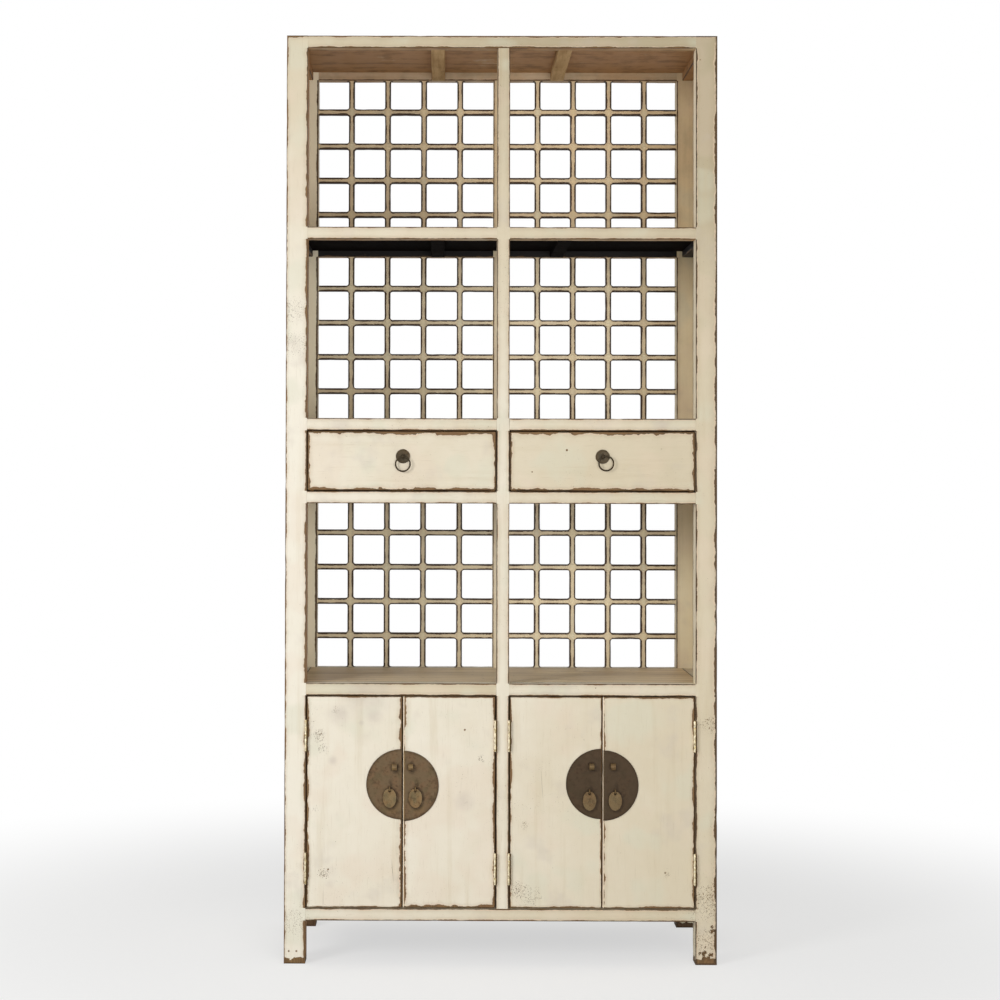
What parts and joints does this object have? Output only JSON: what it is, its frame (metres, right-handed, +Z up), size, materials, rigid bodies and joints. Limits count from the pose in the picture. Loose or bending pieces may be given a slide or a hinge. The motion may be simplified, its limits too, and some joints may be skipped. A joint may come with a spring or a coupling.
{
  "type": "chinese book cabinet",
  "caption": "Tall painted wooden book cabinet: open bays with square lattice backs, a pair of drawers with ring pulls, and cupboards with paired doors, round brass lock plates and leaf pulls",
  "frame": {"origin": "on the floor, under the middle of the cabinet's bounding box, front fittings included", "axes": "+X to the viewer's right, the front faces -Y, +Z up"},
  "size_m": [0.907, 0.4154, 1.95],
  "materials": {
    "cream_paint": "old cream paint, satin, worn through to brown wood along the edges",
    "lattice_paint": "the same paint, thinner and browner",
    "bare_wood": "dark bare wood, stained brown",
    "aged_brass": "old dull brass, brown patina",
    "dark_brass": "darkened brass",
    "hinge_brass": "brass rubbed bright on the knuckles"
  },
  "bodies": {
    "cabinet": {"back_boards": "bare_wood", "back_centre_stile": "cream_paint", "back_left_post": "cream_paint", "back_rails": "cream_paint", "back_right_post": "cream_paint", "board_battens": "bare_wood", "bottom_front_rail": "cream_paint", "cupboard_floor_board": "bare_wood", "cupboard_top_board": "bare_wood", "cupboard_top_front_rails": "cream_paint", "drawer_bottom_front_rails": "cream_paint", "drawer_floor_board": "bare_wood", "drawer_guides": "bare_wood", "drawer_top_board": "bare_wood", "drawer_top_front_rails": "cream_paint", "frame_hinge_leaves": "hinge_brass", "front_centre_stile": "cream_paint", "front_left_post": "cream_paint", "front_right_post": "cream_paint", "left_side_panels": "cream_paint", "left_side_rails": "cream_paint", "lower_left_lattice": "lattice_paint", "lower_right_lattice": "lattice_paint", "middle_left_lattice": "lattice_paint", "middle_right_lattice": "lattice_paint", "right_side_panels": "cream_paint", "right_side_rails": "cream_paint", "shelf_board": "bare_wood", "shelf_front_rails": "cream_paint", "stops": "bare_wood", "top_front_rail": "cream_paint", "top_panel": "bare_wood", "upper_left_lattice": "lattice_paint", "upper_right_lattice": "lattice_paint"},
    "left_drawer": {"left_drawer_front": "cream_paint", "left_drawer_box": "bare_wood", "left_pull_plate": "dark_brass"},
    "left_ring": {"left_pull_ring": "dark_brass"},
    "right_drawer": {"right_drawer_front": "cream_paint", "right_drawer_box": "bare_wood", "right_pull_plate": "dark_brass"},
    "right_ring": {"right_pull_ring": "dark_brass"},
    "left_cupboard_left_door": {"left_cupboard_left_door": "cream_paint", "left_cupboard_left_hinge_leaves": "hinge_brass", "left_cupboard_left_lock_plate": "aged_brass"},
    "left_cupboard_left_pull": {"left_cupboard_left_leaf_pull": "aged_brass"},
    "left_cupboard_right_door": {"left_cupboard_right_door": "cream_paint", "left_cupboard_right_hinge_leaves": "hinge_brass", "left_cupboard_right_lock_plate": "aged_brass"},
    "left_cupboard_right_pull": {"left_cupboard_right_leaf_pull": "aged_brass"},
    "right_cupboard_left_door": {"right_cupboard_left_door": "cream_paint", "right_cupboard_left_hinge_leaves": "hinge_brass", "right_cupboard_left_lock_plate": "aged_brass"},
    "right_cupboard_left_pull": {"right_cupboard_left_leaf_pull": "aged_brass"},
    "right_cupboard_right_door": {"right_cupboard_right_door": "cream_paint", "right_cupboard_right_hinge_leaves": "hinge_brass", "right_cupboard_right_lock_plate": "aged_brass"},
    "right_cupboard_right_pull": {"right_cupboard_right_leaf_pull": "aged_brass"}
  },
  "joints": [
    {"name": "left_drawer_slide", "type": "slide", "parent": "cabinet", "child": "left_drawer", "axis": [0, -1, 0], "range_m": [0, 0.26]},
    {"name": "left_ring_hinge", "type": "hinge", "parent": "left_drawer", "child": "left_ring", "pos_m": [-0.2065, -0.19925, 1.0623], "axis": [-1, 0, 0], "range_deg": [0, 100]},
    {"name": "right_drawer_slide", "type": "slide", "parent": "cabinet", "child": "right_drawer", "axis": [0, -1, 0], "range_m": [0, 0.26]},
    {"name": "right_ring_hinge", "type": "hinge", "parent": "right_drawer", "child": "right_ring", "pos_m": [0.213, -0.19925, 1.06273], "axis": [-1, 0, 0], "range_deg": [0, 100]},
    {"name": "left_cupboard_left_door_hinge", "type": "hinge", "parent": "cabinet", "child": "left_cupboard_left_door", "pos_m": [-0.4075, -0.19605, 0.3385], "axis": [0, 0, -1], "range_deg": [0, 165]},
    {"name": "left_cupboard_left_pull_hinge", "type": "hinge", "parent": "left_cupboard_left_door", "child": "left_cupboard_left_pull", "pos_m": [-0.2325, -0.19925, 0.367], "axis": [-1, 0, 0], "range_deg": [0, 90]},
    {"name": "left_cupboard_right_door_hinge", "type": "hinge", "parent": "cabinet", "child": "left_cupboard_right_door", "pos_m": [-0.0105, -0.19605, 0.3385], "axis": [0, 0, 1], "range_deg": [0, 80]},
    {"name": "left_cupboard_right_pull_hinge", "type": "hinge", "parent": "left_cupboard_right_door", "child": "left_cupboard_right_pull", "pos_m": [-0.1785, -0.19925, 0.367], "axis": [-1, 0, 0], "range_deg": [0, 90]},
    {"name": "right_cupboard_left_door_hinge", "type": "hinge", "parent": "cabinet", "child": "right_cupboard_left_door", "pos_m": [0.0185, -0.19605, 0.3385], "axis": [0, 0, -1], "range_deg": [0, 80]},
    {"name": "right_cupboard_left_pull_hinge", "type": "hinge", "parent": "right_cupboard_left_door", "child": "right_cupboard_left_pull", "pos_m": [0.186, -0.19925, 0.3625], "axis": [-1, 0, 0], "range_deg": [0, 90]},
    {"name": "right_cupboard_right_door_hinge", "type": "hinge", "parent": "cabinet", "child": "right_cupboard_right_door", "pos_m": [0.4075, -0.19605, 0.3385], "axis": [0, 0, 1], "range_deg": [0, 165]},
    {"name": "right_cupboard_right_pull_hinge", "type": "hinge", "parent": "right_cupboard_right_door", "child": "right_cupboard_right_pull", "pos_m": [0.24, -0.19925, 0.3625], "axis": [-1, 0, 0], "range_deg": [0, 90]}
  ]
}
